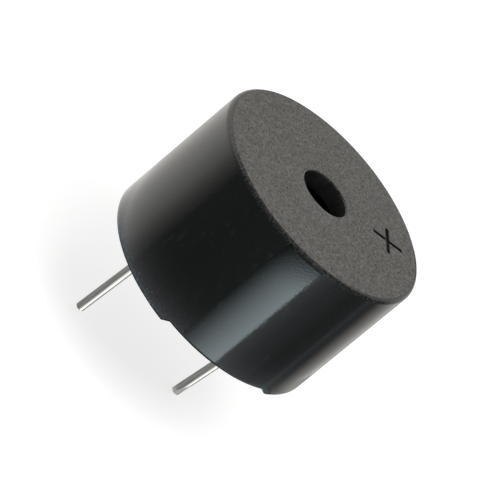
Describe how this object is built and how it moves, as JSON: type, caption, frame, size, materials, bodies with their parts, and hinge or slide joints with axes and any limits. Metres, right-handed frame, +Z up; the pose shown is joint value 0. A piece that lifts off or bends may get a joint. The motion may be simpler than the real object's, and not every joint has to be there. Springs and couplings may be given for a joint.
{
  "type": "piezo buzzer",
  "caption": "Round black piezo buzzer with a central sound hole, a drafted case on stand-off feet, a self-drive circuit inside and slightly bent solder pins of unequal length.",
  "frame": {"origin": "midway between the pins, on the seating plane under the feet", "axes": "+Z up along the case axis to the sound hole, +X from the axis to the positive pin"},
  "size_m": [0.0132, 0.0132, 0.0146],
  "materials": {
    "case_plastic": "glossy moulded side, spark-eroded matt top",
    "base_plastic": "satin moulded",
    "resin": "glossy cured epoxy",
    "tinned_wire": "bright hot-dipped tin",
    "solder": "satin",
    "brass": "rolled, satin",
    "piezo_ceramic": "fired, matt",
    "silver_film": "screen-printed, matt",
    "silicone": "satin",
    "board_laminate": "solder mask on glass-fibre laminate",
    "moulding_epoxy": "matt moulded",
    "tinned_legs": "satin tin plate",
    "resistor_glaze": "glazed",
    "enamelled_copper": "glossy enamel on copper"
  },
  "bodies": {
    "root": {"case": "case_plastic", "base_plate": "base_plastic", "base_seal": "resin", "positive_pin": "tinned_wire", "negative_pin": "tinned_wire", "pin_solder": "solder", "brass_disc": "brass", "ceramic_disc": "piezo_ceramic", "main_electrode": "silver_film", "feedback_electrode": "silver_film", "disc_adhesive": "silicone", "circuit_board": "board_laminate", "transistor": "moulding_epoxy", "transistor_legs": "tinned_legs", "load_resistor": "resistor_glaze", "bias_resistor": "resistor_glaze", "feedback_resistor": "resistor_glaze", "resistor_ends": "tinned_legs", "drive_lead": "enamelled_copper", "feedback_lead": "enamelled_copper", "ground_lead": "enamelled_copper", "disc_solder": "solder", "board_solder": "solder"}
  },
  "joints": []
}
